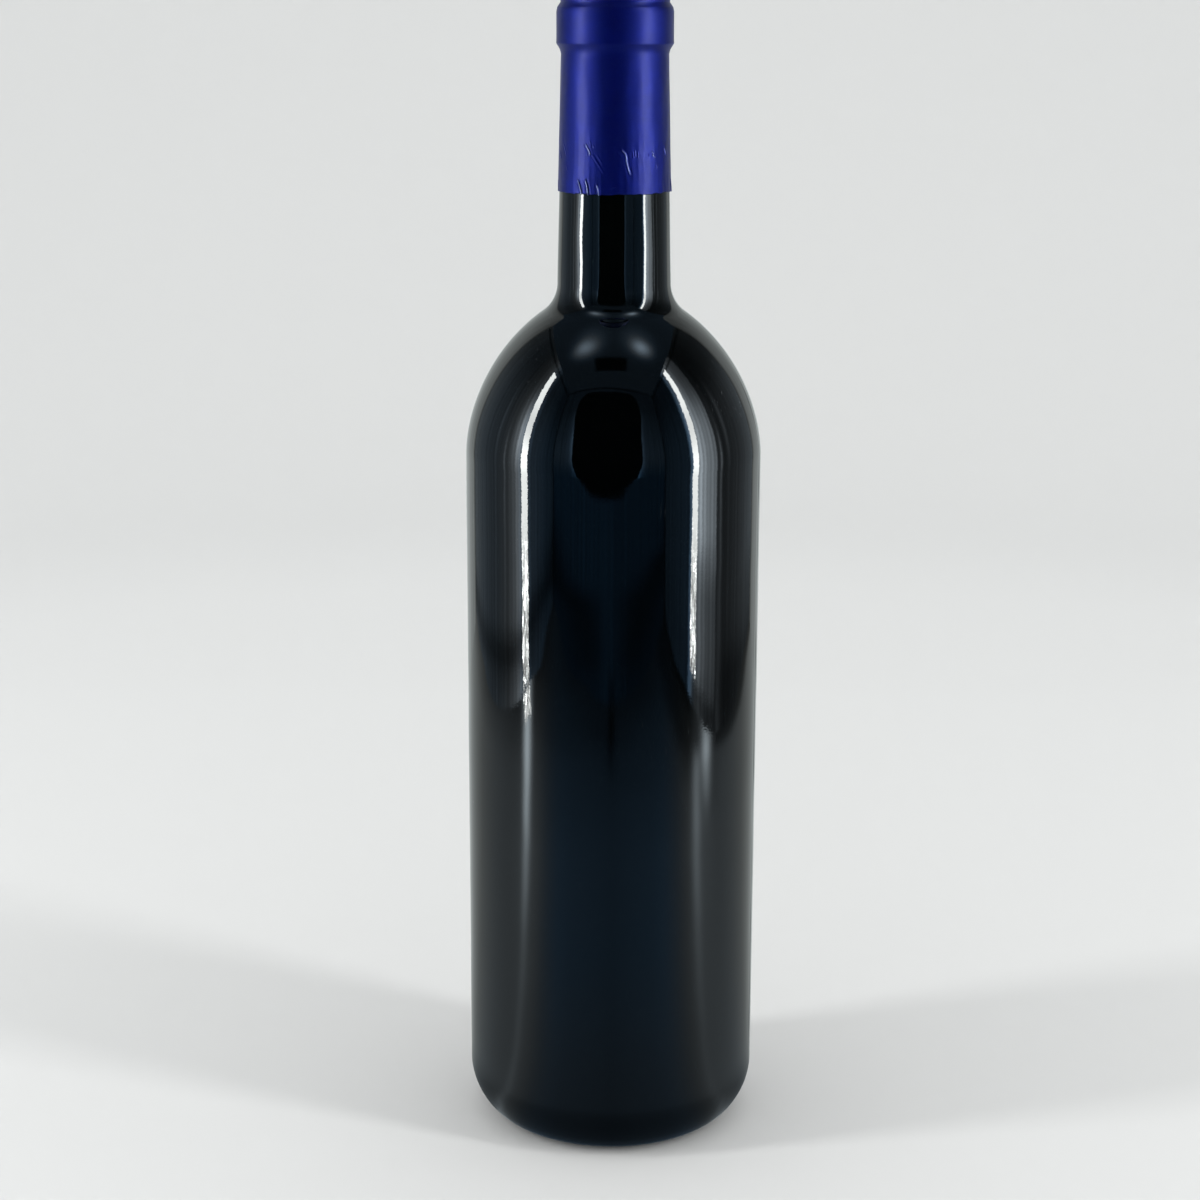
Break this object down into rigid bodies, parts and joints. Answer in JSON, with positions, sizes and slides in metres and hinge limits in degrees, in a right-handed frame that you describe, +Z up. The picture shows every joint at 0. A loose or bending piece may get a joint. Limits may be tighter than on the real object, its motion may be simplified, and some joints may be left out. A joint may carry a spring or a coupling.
{
  "type": "wine bottle",
  "caption": "Closed claret-style wine bottle of near-black glass, with a domed punt under its base and a blue foil capsule over the neck and mouth.",
  "frame": {"origin": "centre of the bearing ring, on the surface the bottle stands on", "axes": "+Z up along the bottle's axis to the mouth, -Y towards the side shown in the picture, +X to its right"},
  "size_m": [0.0764, 0.0764, 0.3003],
  "materials": {
    "glass": "gloss",
    "foil": "satin"
  },
  "bodies": {
    "root": {"bottle": "glass", "capsule": "foil"}
  },
  "joints": []
}
